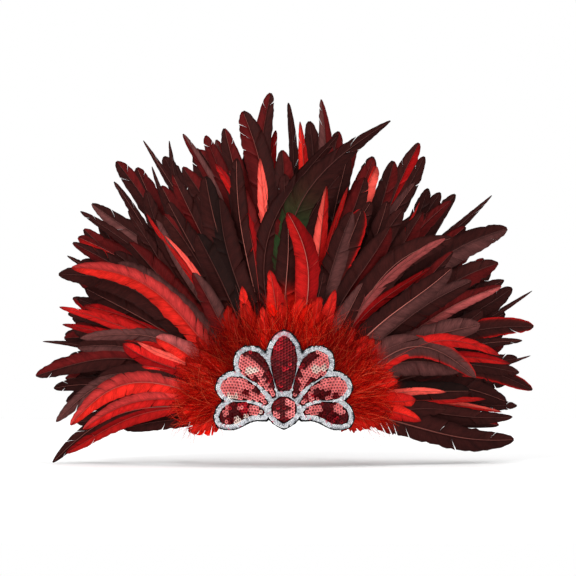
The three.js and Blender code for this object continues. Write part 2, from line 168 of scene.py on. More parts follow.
# tapered tube along a line of points
def tube(gather, line, radii, tone, kind, sides):
    forward = unit(np.gradient(line, axis=0))
    side = unit(np.cross(forward, [0.0, 1.0, 0.0]))
    up = np.cross(side, forward)
    turn = np.linspace(0, 2 * math.pi, sides, endpoint=False)
    ring = side[:, None] * np.cos(turn)[:, None] + up[:, None] * np.sin(turn)[:, None]
    index = np.arange(len(line) * sides).reshape(len(line), sides)
    beside = np.roll(index, -1, 1)
    faces = np.stack([index[:-1], beside[:-1], beside[1:], index[1:]], -1).reshape(-1, 4)
    if tone.ndim > 1:
        tone = np.repeat(tone, sides, 0)
    uv = np.stack([np.repeat(np.arange(len(line)), sides), np.tile(turn, len(line))], 1)
    gather.add(line[:, None] + ring * radii[:, None, None], faces, tone, uv, kind)


# a value that is another node's output becomes a link, and any other is set on the socket itself
def feed(tree, node, inputs):
    for label, value in inputs.items():
        if isinstance(value, bpy.types.NodeSocket):
            tree.links.new(value, node.inputs[label])
        else:
            node.inputs[label].default_value = value


def addNode(tree, kind, inputs, **settings):
    node = tree.nodes.new("ShaderNode" + kind)
    for label, value in settings.items():
        setattr(node, label, value)
    feed(tree, node, inputs)
    return node.outputs


def calculate(tree, operation, *values):
    return addNode(tree, "Math", dict(enumerate(values)), operation=operation)[0]


def remap(tree, value, toLow, toHigh, fromLow=0.0, fromHigh=1.0):
    return addNode(tree, "MapRange", {"Value": value, "From Min": fromLow, "From Max": fromHigh,
                                      "To Min": toLow, "To Max": toHigh})["Result"]


def scaleBy(tree, vector, share):
    return addNode(tree, "VectorMath", {0: vector, "Scale": share}, operation="SCALE")[0]


def newGroup(name, inputs, outputs):
    group = bpy.data.node_groups.new(name, "ShaderNodeTree")
    for label, kind, value in inputs:
        socket = group.interface.new_socket(name=label, in_out="INPUT", socket_type="NodeSocket" + kind)
        if value is not None:
            socket.default_value = value
    for label in outputs:
        kind = "NodeSocketColor" if label == "Color" else "NodeSocketFloat"
        group.interface.new_socket(name=label, in_out="OUTPUT", socket_type=kind)
    return group, group.nodes.new("NodeGroupInput").outputs, group.nodes.new("NodeGroupOutput")


# fine lines that run with the barbs: uv x is where a barb leaves the quill, uv y how far out along it
def barbGroup():
    streaks = {"stretch": (1.0, 0.35, 1.0), "fine": 1.1, "broad": 0.16, "fineShare": 0.55, "broadShare": 0.45}
    group, given, result = newGroup(
        "barbStreaks", [("Vector", "Vector", None), ("Fineness", "Float", 1.0), ("Color", "Color", None),
                        ("Depth", "Float", 0.35)], ["Color", "Height", "Mask"])
    scaled = scaleBy(group, given["Vector"], given["Fineness"])
    drawn = addNode(group, "VectorMath", {0: scaled, 1: streaks["stretch"]}, operation="MULTIPLY")[0]
    fine = addNode(group, "TexNoise", {"Vector": drawn, "Scale": streaks["fine"], "Detail": 5.0,
                                       "Roughness": 0.6})["Fac"]
    broad = addNode(group, "TexNoise", {"Vector": given["Vector"], "Scale": streaks["broad"],
                                        "Detail": 2.0})["Fac"]
    weighted = calculate(group, "MULTIPLY", broad, streaks["broadShare"])
    both = calculate(group, "MULTIPLY_ADD", fine, streaks["fineShare"], weighted)
    level = remap(group, both, 0.0, 1.0, 0.32, 0.68)
    low = calculate(group, "SUBTRACT", 1.0, given["Depth"])
    high = calculate(group, "ADD", 1.0, given["Depth"])
    tint = scaleBy(group, given["Color"], remap(group, level, low, high))
    feed(group, result, {"Color": tint, "Height": fine, "Mask": level})
    return group


# crossed threads, as in tape, ribbon and elastic
def weaveGroup():
    group, given, result = newGroup(
        "threadWeave", [("Vector", "Vector", None), ("Along", "Float", 1.0), ("Across", "Float", 1.0)],
        ["Height", "Mask"])
    split = addNode(group, "SeparateXYZ", {0: given["Vector"]})
    waves = [calculate(group, "SINE", calculate(group, "MULTIPLY", split[axis], given[label]))
             for axis, label in (("X", "Along"), ("Y", "Across"))]
    level = remap(group, calculate(group, "MULTIPLY", *waves), 0.0, 1.0, -1.0)
    wear = addNode(group, "TexNoise", {"Vector": given["Vector"], "Scale": 0.9, "Detail": 4.0})["Fac"]
    feed(group, result, {"Height": level, "Mask": calculate(group, "MULTIPLY", level, wear)})
    return group


# uneven film or matted fibres
def clumpGroup(name, detail, distortion):
    group, given, result = newGroup(
        name, [("Vector", "Vector", None), ("Fineness", "Float", 900.0)], ["Height", "Mask"])
    clumps = addNode(group, "TexNoise", {"Vector": given["Vector"], "Scale": given["Fineness"],
                                         "Detail": detail, "Distortion": distortion})["Fac"]
    feed(group, result, {"Height": clumps, "Mask": remap(group, clumps, 0.0, 1.0, 0.3, 0.7)})
    return group


barbStreaks = barbGroup()
threadWeave = weaveGroup()
filmScuffs = clumpGroup("filmScuffs", 3.0, 0.0)
feltFibres = clumpGroup("feltFibres", 6.0, 1.2)


def newMaterial(name, **values):
    material = bpy.data.materials.new(name)
    material.use_nodes = True
    tree = material.node_tree
    shader = tree.nodes["Principled BSDF"]
    feed(tree, shader, values)
    return material, tree, shader


# the material's own colour, roughness and bump, with the bump's strength and its height in metres
def finishWith(tree, shader, colour, rough, height, strength, distance):
    normal = addNode(tree, "Bump", {"Strength": strength, "Distance": distance, "Height": height})["Normal"]
    feed(tree, shader, {"Base Color": colour, "Roughness": rough, "Normal": normal})


def addRamp(tree, share, dark, light, low, high):
    ramp = tree.nodes.new("ShaderNodeValToRGB")
    for element, colour, position in zip(ramp.color_ramp.elements, (dark, light), (low, high)):
        element.color = (*linear(*colour), 1)
        element.position = position
    feed(tree, ramp, {"Fac": share})
    return ramp.outputs["Color"]


def barbMaterial(name, depth, fineness, rough, shine, bump):
    material, tree, shader = newMaterial(name, **{"Specular IOR Level": shine})
    tone = addNode(tree, "VertexColor", {}, layer_name="tone")["Color"]
    uv = addNode(tree, "UVMap", {}, uv_map="UVMap")["UV"]
    streaks = addNode(tree, "Group", {"Vector": uv, "Color": tone, "Fineness": fineness, "Depth": depth},
                      node_tree=barbStreaks)
    rough = remap(tree, streaks["Mask"], rough - 0.1, rough + 0.12)
    finishWith(tree, shader, streaks["Color"], rough, streaks["Height"], bump, 0.0004)
    return material


def weaveMaterial(name, dark, light, along, across, rough, bump):
    material, tree, shader = newMaterial(name, **{"Specular IOR Level": 0.08, "Sheen Weight": 0.04})
    uv = addNode(tree, "UVMap", {}, uv_map="UVMap")["UV"]
    weave = addNode(tree, "Group", {"Vector": uv, "Along": along, "Across": across}, node_tree=threadWeave)
    colour = addRamp(tree, weave["Mask"], dark, light, 0.0, 0.7)
    rough = remap(tree, weave["Mask"], rough, rough - 0.15)
    finishWith(tree, shader, colour, rough, weave["Height"], bump, 0.0003)
    return material


def sequinMaterial(name, rough, metallic, shine):
    material, tree, shader = newMaterial(name, **{"Metallic": metallic, "Specular IOR Level": shine})
    tone = addNode(tree, "VertexColor", {}, layer_name="tone")["Color"]
    where = addNode(tree, "TexCoord", {})["Object"]
    scuffs = addNode(tree, "Group", {"Vector": where, "Fineness": 900.0}, node_tree=filmScuffs)
    colour = scaleBy(tree, tone, remap(tree, scuffs["Mask"], 0.78, 1.1))
    rough = remap(tree, scuffs["Height"], rough - 0.06, rough + 0.12)
    finishWith(tree, shader, colour, rough, scuffs["Height"], 0.15, 0.0001)
    return material


def feltMaterial(name, dark, light, fineness):
    material, tree, shader = newMaterial(name, **{"Specular IOR Level": 0.08})
    where = addNode(tree, "TexCoord", {})["Object"]
    fibres = addNode(tree, "Group", {"Vector": where, "Fineness": fineness}, node_tree=feltFibres)
    colour = addRamp(tree, fibres["Height"], dark, light, 0.35, 0.72)
    rough = remap(tree, fibres["Height"], 0.85, 1.0)
    finishWith(tree, shader, colour, rough, fibres["Height"], 0.6, 0.0005)
    return material


vaneFinish = barbMaterial("featherVane", 0.5, 1.0, 0.5, 0.035, 0.6)
downFinish = barbMaterial("redDown", 0.35, 1.0, 0.8, 0.01, 0.3)
quillFinish = barbMaterial("featherQuill", 0.12, 0.5, 0.45, 0.1, 0.1)
tapeFinish = weaveMaterial("stitchedTape", (60, 8, 10), (128, 24, 26), 7.0, 7.0, 0.85, 0.5)
bandFinish = weaveMaterial("ribbedRibbon", (26, 10, 11), (74, 22, 24), 5.2, 1.4, 0.75, 0.7)
elasticFinish = weaveMaterial("wovenElastic", (14, 11, 13), (58, 50, 54), 3.6, 4.4, 0.8, 0.8)
redSequin = sequinMaterial("redSequin", 0.3, 0.3, 0.15)
silverSequin = sequinMaterial("silverSequin", 0.28, 0.1, 0.5)
feltFinish = feltMaterial("blackFelt", (6, 5, 7), (30, 26, 30), 900.0)
redCloth = feltMaterial("sequinBacking", (46, 0, 4), (96, 6, 12), 700.0)
greyCloth = feltMaterial("trimBacking", (150, 152, 158), (232, 234, 240), 700.0)
print("materials ready")

# feather tones by letter; U, P and S are dusty tones, partly painted sheen on dark, brown-pink and red vanes,
# and G is a painted green sheen
tones = {
    "D": (48, 18, 16), "U": (82, 46, 44), "M": (82, 16, 16), "C": (134, 10, 12), "R": (182, 24, 22),
    "B": (208, 34, 26), "S": (172, 46, 44), "O": (248, 88, 76), "K": (28, 13, 11), "P": (154, 70, 68),
    "G": (36, 54, 27),
}
fluffTone = linear(238, 22, 10)
quillTone, darkQuill, redQuill = linear(196, 112, 100), linear(92, 48, 44), linear(226, 70, 50)
redEdge, darkTip = linear(196, 18, 18), linear(60, 10, 12)

# angle of the tip from straight up, reach, bow, width, point, tones of the left and right vane, how far
# ahead in its strip, and the angle of the quill where it isn't the fan's own
# a third letter is p for a pale quill, r for red edges and g for a patch of painted green sheen
leftRows = [[
    [-104.5, 0.77, 0.14, 0.9, 0.8, "DD", 0.5],
    [-103, 0.72, 0.08, 0.7, 0.5, "RC", 0.4],
    [-97.4, 0.65, 0.12, 0.72, 0.5, "RS", 0.7],
    [-96, 0.69, 0.2, 1, 0.5, "BS", 1],
    [-82, 0.6, 0.06, 0.9, 0.4, "UD", 0.1],
    [-69.5, 0.55, 0.02, 0.9, 0.4, "CR", 0.5],
    [-62.5, 0.46, 0.05, 1, 0.3, "BP", 0.9],
    [-57.5, 0.81, 0.13, 0.95, 0.4, "BS", 0.5],
    [-67, 0.51, 0, 0.35, 0.6, "OO", 0.6],
    [-75, 0.47, 0.04, 0.7, 0.5, "RC", 0.2],
    [-88, 0.45, 0.06, 0.7, 0.6, "RR", 0.3],
], [
    [-99, 0.52, -0.03, 0.73, 0.3, "DD", 1],
    [-95, 0.74, 0.2, 0.9, 0.6, "UU", 0.3],
    [-84, 0.81, 0.14, 0.9, 0.2, "DM", 0.5],
    [-75, 0.69, 0.08, 1.1, 0.3, "UD", 0.8],
    [-72.5, 0.69, 0.16, 0.65, 0.5, "UU", 1],
    [-67, 0.79, 0.08, 0.7, 0.8, "RR", 0.2],
    [-60.5, 0.84, 0.12, 1.1, 0.2, "DD", 0.7],
    [-50, 0.7, 0.02, 1.1, 0.3, "DU", 0.3],
    [-70.6, 0.76, 0.08, 0.5, 0.6, "CC", 0.1],
], [
    [-92.5, 0.66, 0.05, 0.9, 0.4, "DD", 0.2],
    [-86.6, 0.75, 0.03, 0.9, 0.5, "DD", 0.5],
    [-76, 0.81, 0.02, 0.5, 1, "DD", 0.3],
    [-64.3, 0.72, 0.06, 0.9, 0.7, "RC", 0.7],
    [-56, 0.85, 0.05, 0.4, 0.4, "DD", 1],
    [-53, 0.86, 0.08, 0.9, 0.5, "MD", 0.4],
    [-44, 0.72, 0, 1.1, 0.4, "DM", 0.6],
], [
    [-90, 0.71, 0.1, 1, 0.4, "UD", 0.2],
    [-80, 0.74, 0.08, 1, 0.4, "CR", 0.7],
    [-68, 0.76, 0.06, 1, 0.5, "DD", 0.2],
    [-59, 0.8, 0.04, 1, 0.4, "MC", 0.6],
    [-51.5, 0.86, 0.03, 1.1, 0.2, "RM", 0.9],
    [-47, 0.91, 0.04, 0.59, 0.5, "DD", 0.3],
    [-44.2, 0.9, 0.07, 0.9, 0.3, "UD", 0.7],
], [
    [-95.7, 0.68, 0.06, 1.1, 0.5, "DD", 0.2],
    [-84, 0.72, 0.06, 1.1, 0.5, "DM", 0.7],
    [-73, 0.75, 0.05, 1.1, 0.5, "DD", 0.2],
    [-64, 0.77, 0.05, 1.1, 0.5, "CD", 0.7],
    [-55, 0.8, 0.03, 1.1, 0.4, "DD", 0.2],
    [-46, 0.84, 0, 1.1, 0.4, "DM", 0.7],
]]
centreRows = [[
    [-34.6, 0.51, 0, 0.8, 0.3, "MU", 0.3],
    [-19.3, 0.4, 0, 0.8, 0.9, "BB", 0.8],
    [-6, 0.43, 0, 0.9, 0.7, "BR", 0.8],
    [0.9, 0.61, 0.1, 1, 0.3, "RCp", 0.5, 12],
    [16.5, 0.44, 0, 0.82, 0.6, "DD", 0.2],
    [33, 0.46, 0, 0.9, 0.5, "UD", 0.5],
    [24, 0.4, 0, 0.7, 0.7, "BR", 0.9],
], [
    [-27, 0.61, 0, 1.2, 0.3, "DK", 0.9],
    [-19, 0.77, 0, 1.2, 0.2, "DK", 0.2],
    [-17.3, 0.69, 0, 1.2, 0.3, "KD", 0.6],
    [-2, 0.59, 0, 0.7, 0.4, "MC", 0.4],
    [1, 0.6, 0, 1, 0.3, "DDp", 0.9],
    [19.5, 0.65, -0.03, 1, 0.3, "DU", 0.9],
    [20.8, 0.97, -0.2, 1.3, 1, "DDg", 0.6, 8],
    [21.7, 0.67, -0.03, 1.1, 0.1, "DDr", 0.3],
    [31, 0.66, -0.03, 1.1, 0.3, "DM", 0.6],
    [4.1, 0.63, -0.03, 0.5, 0.4, "CR", 0.7],
    [-22, 0.48, 0, 0.7, 0.6, "UB", 1],
], [
    [-39.1, 0.8, -0.02, 0.7, 0.7, "DD", 0.9],
    [-35, 0.72, 0, 0.9, 0.4, "DU", 0.6],
    [-30, 0.75, 0, 1, 0.3, "DD", 0.3],
    [-16, 0.8, 0.04, 0.6, 0.4, "RC", 0.6],
    [-10.9, 0.8, 0, 0.8, 0.2, "DDp", 0.9],
    [11, 0.71, 0, 0.8, 0.9, "OR", 0.9],
    [11.6, 0.88, -0.18, 1, 0.8, "DD", 1, -5],
    [19.6, 0.77, 0, 0.9, 0, "MD", 0.8],
    [27, 0.73, 0, 1, 0.4, "DD", 0.3],
    [36, 0.76, 0, 1, 0.4, "DM", 0.6],
    [-35.5, 0.665, 0, 0.3, 0.8, "OO", 0.9],
    [-43, 0.71, 0, 0.4, 0.6, "OR", 1],
    [-36, 0.755, 0, 0.35, 0.7, "RR", 0.8],
    [16.4, 0.725, -0.03, 0.4, 0.7, "RR", 0.8],
], [
    [-33, 0.82, 0, 1, 0.4, "DD", 0.2],
    [-26, 0.82, 0, 1, 0.4, "MD", 0.5],
    [-20.7, 0.93, 0.08, 0.6, 0.5, "MU", 0.4],
    [-16.4, 0.9, 0.05, 0.85, 0.2, "MM", 0.6],
    [-8.1, 0.95, 0.03, 1.2, 0.1, "MD", 0.8],
    [-5.6, 0.79, 0, 0.75, 0.8, "OO", 0.7],
    [-2.4, 1, -0.02, 0.85, 0, "MD", 0.6],
    [1.5, 0.73, 0, 0.7, 0, "CM", 0.4],
    [9, 0.82, 0, 0.6, 0.4, "PU", 0.8],
    [20, 0.84, 0, 1, 0.3, "MM", 0.5],
    [21.4, 0.82, 0, 1, 0, "BO", 1],
    [27.5, 0.95, 0.03, 0.78, 0, "DC", 0.3],
    [29.7, 0.92, 0, 0.8, 0, "DD", 0.6],
    [30.9, 0.83, 0, 0.8, 0.4, "UD", 0.9],
    [39.8, 0.85, 0, 0.8, 0.4, "MM", 0.5],
    [34, 0.786, 0, 0.25, 0.8, "RR", 0.9],
], [
    [-37.8, 0.91, 0, 0.5, 0.4, "DD", 0.2],
    [-35, 0.96, 0, 0.9, 0, "DM", 0.6],
    [-29.3, 0.88, 0, 0.5, 0.8, "DD", 0.2],
    [-28.4, 0.97, 0.02, 0.66, 1, "DD", 0.7],
    [-23.7, 0.93, 0, 0.7, 1, "DD", 0.3],
    [-14.5, 0.88, 0.03, 0.9, 0.4, "UM", 0.6],
    [-11.7, 0.86, 0, 0.5, 0.4, "DD", 0.1],
    [-1.7, 0.88, -0.05, 0.65, 0.4, "CC", 0.8],
    [0.8, 0.97, 0, 0.4, 0, "DD", 0.2],
    [3.2, 0.91, 0, 0.8, 0.9, "BR", 0.6],
    [6.9, 0.99, 0, 1, 0.8, "UM", 0.8],
    [15.8, 0.89, 0, 0.6, 0.4, "MM", 0.1],
    [24, 0.86, 0, 1, 0.4, "DD", 0.6],
    [34, 0.84, 0, 1, 0.4, "DD", 0.2],
    [39.6, 0.88, 0, 1, 0.5, "DD", 0.6],
]]
rightRows = [[
    [51, 0.69, -0.05, 1, 0.3, "DUp", 0.5],
    [64, 0.48, -0.05, 1, 0.4, "UD", 0.1],
    [77.6, 0.71, -0.16, 0.65, 0.5, "RR", 0.5],
    [82.5, 0.62, -0.27, 1, 0.4, "UUr", 1],
    [88, 0.42, 0, 0.85, 0.4, "RB", 0.8],
    [92, 0.52, 0, 0.8, 0.3, "DD", 0.4],
    [99, 0.75, 0.02, 1.1, 0.4, "DD", 0.5],
    [97, 0.44, 0, 0.7, 0.6, "BR", 0.9],
], [
    [44.4, 0.74, -0.08, 0.6, 0.5, "PP", 1],
    [45.7, 0.76, -0.12, 1.25, 0.5, "DD", 0.6],
    [48, 0.73, 0, 0.8, 0.5, "MD", 0.3],
    [57, 0.72, -0.05, 1, 0.3, "UD", 0.6],
    [68.2, 0.68, -0.06, 1.02, 0, "UU", 1],
    [79.5, 0.58, -0.15, 1.25, 0.3, "DU", 0.9],
    [80.3, 0.74, -0.1, 0.6, 0.6, "CR", 0.4],
    [86.3, 0.6, 0, 0.94, 0.3, "KD", 0.7],
    [93.6, 0.74, 0, 0.82, 0.6, "DD", 0.9],
    [47.2, 0.645, -0.1, 0.4, 0.4, "CC", 0.9],
    [86, 0.52, 0, 0.35, 0.5, "OO", 1],
    [88.9, 0.65, -0.03, 0.4, 0.7, "RR", 0.5],
], [
    [52.2, 0.92, -0.06, 1.2, 0.2, "DU", 1],
    [61.9, 0.8, 0, 0.8, 0.4, "MP", 0.6],
    [65, 0.71, 0, 1, 0.3, "DD", 1],
    [73.3, 0.85, -0.08, 0.85, 0, "DDr", 0.8],
    [75.6, 0.8, -0.05, 0.5, 0.4, "DD", 0.5],
    [83, 0.77, -0.08, 0.9, 0.5, "DD", 1],
    [87.4, 0.81, -0.12, 0.7, 0, "DDr", 0.6],
    [96, 0.7, 0, 0.8, 0.5, "CD", 0.3],
    [92.6, 0.706, 0, 0.4, 0.7, "OR", 1],
], [
    [46, 0.82, 0, 1, 0.4, "MD", 0.2],
    [54.3, 0.8, 0, 1, 0.6, "RM", 0.6],
    [61.1, 0.82, -0.02, 0.9, 0.4, "DD", 0.9],
    [66, 0.89, 0, 0.5, 1, "DD", 0.6],
    [70.5, 0.76, 0, 1, 0.4, "DM", 0.2],
    [79.5, 0.82, 0, 0.5, 1, "DD", 0.8],
    [80, 0.72, 0, 1, 0.4, "RD", 0.5],
    [91, 0.76, -0.04, 0.7, 0.3, "DD", 0.9],
], [
    [44.8, 0.8, 0, 1.1, 0.4, "MM", 0.2],
    [45.3, 0.96, -0.02, 0.7, 1, "DD", 0.6],
    [54.2, 0.8, 0, 1.1, 0.4, "DD", 0.2],
    [63, 0.78, 0, 1.1, 0.4, "DM", 0.7],
    [73, 0.75, -0.02, 1.1, 0.4, "DD", 0.2],
    [84, 0.72, -0.04, 1.1, 0.4, "DD", 0.7],
    [95, 0.67, -0.02, 1.1, 0.4, "CD", 0.2],
]]


feathers = {
    "fullness": 1.3, "reachShare": 1.012, "plainBow": 0.09, "looseBow": 0.035, "sway": 0.03, "fillGap": 3.6,
    "stationGap": 4.6, "fewestStations": 14, "acrossSteps": 4, "vaneFrom": 0.05, "vaneLength": 0.945,
    "vaneThickness": 0.14, "camber": 1.1, "slant": 0.045, "tipRoom": 0.12, "behind": 0.3, "ahead": 1.1,
    "edgeRagged": 0.035, "edgeNotch": 0.03, "edgeWave": 0.07, "edgeWaves": 13, "denseShare": 0.3,
    "splitEvery": 10, "splitWidth": 0.9, "loose": (0.2, 0.36), "looseWidth": 0.12,
    "quillStations": 22, "quillRadius": 0.85, "quillTaper": 0.86, "quillAhead": 0.12,
    "redBaseFrom": 62, "redBaseTo": 112, "redFadeIn": 26, "redFadeOut": 14, "quillRed": (70, 110),
    # swell and the next set the painted sheen across each vane, and greenAt and greenSpread place the painted
    # green sheen
    "swell": 0.18, "paleSheen": 0.3, "lengthShade": 0.14, "greenAt": 0.48, "greenSpread": 0.12,
    "redEdge": (0.72, 0.9), "edgeRed": 0.9, "tip": (0.93, 1.0), "tipDark": 0.75,
    "fillerWidth": 1.15, "wholeTurn": 6.28, "fluffySlant": 2.4, "looseSlant": 0.8, "looseOpening": 1.2,
    "tipLean": (-1.2, 1.0), "bright": (0.88, 1.14), "edge": (0.94, 1.03), "opening": (0.2, 1.0),
    "curl": (-0.35, 0.45), "patch": (0.88, 1.1), "fluffyPatch": (0.6, 1.15),
}
down = {
    "reach": 108, "ragged": 12, "spread": 105, "tapeEnd": 108, "tapeNear": -16, "tapeFar": 7,
    "tufts": 17, "perTuft": 3, "plumeTurn": 6, "plumeBow": 0.08, "plumeWidth": 0.75, "plumeRagged": 4.5,
    "tones": [(120, 6, 6), (206, 20, 12), (244, 44, 24), (255, 96, 62)],
    "toneShares": [0.28, 0.37, 0.25, 0.1],
    "strands": 4800, "strandPoints": 5, "strandFrom": -2, "strandTo": 60, "strandShort": 16,
    "strandLong": 42, "strandWidth": 0.28, "stray": 0.5, "curl": 0.7, "topAngle": 40, "topShare": 1.15,
    "glowAngles": [-108, -75, -56, -38, -22, -8, 12, 30, 44, 62, 90, 108],
    "glow": [1.0, 1.05, 0.7, 0.42, 0.62, 1.15, 1.1, 0.75, 0.6, 1.15, 1.1, 0.85],
}
profileAt = [0, 0.06, 0.12, 0.2, 0.35, 0.5, 0.65, 0.8, 0.88, 0.94, 0.975, 0.992, 1]
roundWidth = np.array([0.1, 0.22, 0.38, 0.6, 0.86, 1.0, 1.0, 0.95, 0.84, 0.66, 0.45, 0.26, 0.03])
spikedWidth = np.array([0.1, 0.22, 0.38, 0.6, 0.84, 0.93, 0.8, 0.54, 0.38, 0.24, 0.14, 0.08, 0.02])


def smoothStep(value, low, high):
    share = np.clip((value - low) / (high - low), 0, 1)
    return share * share * (3 - 2 * share)


def blend(tone, other, share):
    share = share[..., None]
    return tone * (1 - share) + other * share


# how brightly the down and the red bases glow at an angle: they lie in shade between the larger feathers
def glowAt(angle):
    return float(np.interp(angle, down["glowAngles"], down["glow"]))


# points of a layer's surface, brought forward by lift
def onFan(flat, level, lift):
    x, z = flat[..., 0], flat[..., 1]
    return np.stack([x, fanDepth(x, z, level) - lift, z], -1)


class Spine:
    def __init__(self, angle, reach, bow, root, sway):
        a = math.radians(angle)
        tip = reach * feathers["reachShare"] * fan["longest"] * np.array([math.sin(a), math.cos(a)])
        self.start = rootPoint(root, 0.0)
        self.chord = tip - self.start
        self.side = np.array([self.chord[1], -self.chord[0]])
        self.bow, self.sway = bow, sway
        self.length = float(np.hypot(*self.chord))

    def at(self, t):
        swing = self.bow * np.sin(math.pi * np.clip(t, 0, 1) ** 1.25)
        swing = swing + self.sway * np.sin(2 * math.pi * t) * t
        return self.start + self.chord * t[..., None] + self.side * swing[..., None]

    def across(self, t):
        end = np.minimum(t + 0.01, 1.0)
        ahead = unit(self.at(end) - self.at(end - 0.01))
        return np.stack([ahead[..., 1], -ahead[..., 0]], -1)


# stations where the barbs part: closer together near the root, and all along a fluffy plume
def cutVane(stations, fluffy):
    cuts = [0]
    while cuts[-1] < stations:
        if fluffy:
            low, high = 1, 3
        elif cuts[-1] < feathers["denseShare"] * stations:
            low, high = 2, 4
        else:
            low, high = 3, 2 * feathers["splitEvery"]
        cuts.append(min(stations, cuts[-1] + int(rng.integers(low, high))))
    if len(cuts) > 2 and cuts[-1] - cuts[-2] < 3 and not fluffy:
        cuts.pop(-2)
    return cuts


def addFeather(gather, row, level, number, fluffy=False):
    angle, reach, bow, width, point, code, ahead = row[:7]
    root = row[7] if len(row) > 7 else fan["rootShare"] * angle
    if abs(bow) < feathers["plainBow"]:
        bow += rng.uniform(-1, 1) * feathers["looseBow"]
    spine = Spine(angle, reach, bow, root, rng.uniform(-1, 1) * feathers["sway"])
    half = width * fan["featherWidth"] / 2 * feathers["fullness"]
    profile = roundWidth * (1 - point) + spikedWidth * point
    stations = max(feathers["fewestStations"], int(spine.length / feathers["stationGap"]))
    forward = feathers["behind"] + ahead * feathers["ahead"]
    tipLean = rng.uniform(*feathers["tipLean"])
    glow = glowAt(angle)
    # the red base ends sooner where the down lies in painted shade
    redTo = rng.uniform(feathers["redBaseFrom"], feathers["redBaseTo"]) * (0.7 + 0.3 * glow)
    bright = rng.uniform(*feathers["bright"])
    depthWave = rng.uniform(0, feathers["wholeTurn"])

    def lift(t):
        return forward - tipLean * t * t + 0.35 * np.sin(5 * t + depthWave) * t

    for side, letter in ((-1, code[0]), (1, code[1])):
        own = linear(*tones[letter]) * bright
        edge = rng.uniform(*feathers["edge"])
        phase = rng.uniform(0, feathers["wholeTurn"])
        cuts = cutVane(stations, fluffy)
        for first, last in zip(cuts, cuts[1:]):
            fine = np.linspace(first, last, max(3, last - first + 1))
            t = feathers["vaneFrom"] + feathers["vaneLength"] * fine / stations
            tt, ss = np.meshgrid(t, np.linspace(0, 1, feathers["acrossSteps"] + 1), indexing="ij")
            room = np.minimum(1, (1 - tt) / feathers["tipRoom"])
            loose = 1 if fluffy else 1 - smoothStep(tt, *feathers["loose"])
            slant = feathers["slant"] * (1 + feathers["fluffySlant" if fluffy else "looseSlant"] * loose)
            reachOut = tt + ss * slant * room
            share = np.interp(reachOut, profileAt, profile)
            ragged = rng.normal(0, feathers["edgeRagged"] * (down["plumeRagged"] if fluffy else 1), len(t))
            ragged[::2] -= feathers["edgeNotch"]
            wave = feathers["edgeWave"] * np.sin(feathers["edgeWaves"] * tt + phase) * ss
            out = share * half * ss * (edge + wave + ragged[:, None] * ss ** 2)
            out = out * (1 + feathers["looseWidth"] * loose)
            opening = rng.uniform(*feathers["opening"]) * feathers["splitWidth"] / spine.length
            opening = opening * (1 + feathers["looseOpening"] * loose)
            fromMiddle = (tt - (t[0] + t[-1]) / 2) / (t[-1] - t[0])
            reachOut = np.minimum(reachOut - opening * ss ** 2 * fromMiddle * 2, 0.999)
            flat = spine.at(reachOut) + side * spine.across(reachOut) * out[..., None]
            drop = feathers["camber"] * ss ** 2 * (share * half / 10)
            curl = rng.uniform(*feathers["curl"]) * ss ** 2
            grid = onFan(flat, level, lift(reachOut) - drop - curl)
            # painted sheen: each vane is lighter across its middle than at the quill and the edge, more on
            # the dusty tones, then varied along its length and between pieces
            swell = feathers["paleSheen" if letter in "UPS" else "swell"]
            shade = 1 - swell + 2 * swell * np.sin(math.pi * ss ** 0.8)
            shade = shade * (1 + feathers["lengthShade"] * np.sin(6 * tt + phase + side))
            shade = shade * rng.uniform(*feathers["fluffyPatch" if fluffy else "patch"])
            tone = own * shade[..., None]
            # painted green sheen, strongest halfway along the vane
            if "g" in code:
                green = np.exp(-((reachOut - feathers["greenAt"]) / feathers["greenSpread"]) ** 2)
                tone = blend(tone, linear(*tones["G"]), green)
            if "r" in code:
                tone = blend(tone, redEdge, smoothStep(ss, *feathers["redEdge"]) * feathers["edgeRed"])
            if letter in "CRBO":
                tone = blend(tone, darkTip, smoothStep(reachOut, *feathers["tip"]) * feathers["tipDark"])
            distance = np.hypot(flat[..., 0], flat[..., 1])
            base = smoothStep(distance, redTo - feathers["redFadeIn"], redTo + feathers["redFadeOut"])
            tone = blend(tone, fluffTone, 1 - base)
            # painted shade and painted brightening of a fluffy plume by its angle
            if fluffy:
                tone = tone * glow
            uv = np.stack([tt * spine.length, ss * 6 + number * 13.7 + side * 3], -1)
            normal = unit(np.cross(np.gradient(grid, axis=1), np.gradient(grid, axis=0)))
            normal *= side * feathers["vaneThickness"] / 2
            addShell(gather, grid + normal, grid - normal, tone, uv, 0, side)

    t = np.linspace(0, 0.985, feathers["quillStations"])
    line = spine.at(t)
    radius = feathers["quillRadius"] * (1 - feathers["quillTaper"] * t) * (0.55 + 0.45 * width)
    pale = 1.0 if "p" in code else (0.36 if number % 3 == 0 else 0.08)
    quill = quillTone * pale + (linear(*tones[code[0]]) * 0.6 + darkQuill * 0.4) * (1 - pale)
    base = 1 - smoothStep(np.hypot(line[:, 0], line[:, 1]), *feathers["quillRed"])
    line = onFan(line, level, lift(t) + feathers["quillAhead"])
    tube(gather, line, radius, blend(quill, redQuill, base), 1, 4)


# tape that the quills are sewn into
def addTape(gather, fromTurn, toTurn, level, near, far):
    turns = np.arange(fromTurn, toTurn + 0.1, 2.0)
    outs = np.linspace(near, far, 6)
    back = np.stack([onFan(rootPoint(turns, out), level, 0) for out in outs], 1)
    bulge = np.sqrt(np.clip(1 - np.linspace(-1, 1, 6) ** 4, 0, 1))
    ripple = 0.12 * np.sin(turns * 2.1)
    front = back.copy()
    front[..., 1] -= fan["tapeThickness"] * (0.25 + 0.75 * bulge) + ripple[:, None] * bulge
    uv = np.stack(np.broadcast_arrays(turns[:, None] * 1.1, outs), -1)
    addShell(gather, front, back, linear(96, 14, 16), uv, 2, -1)


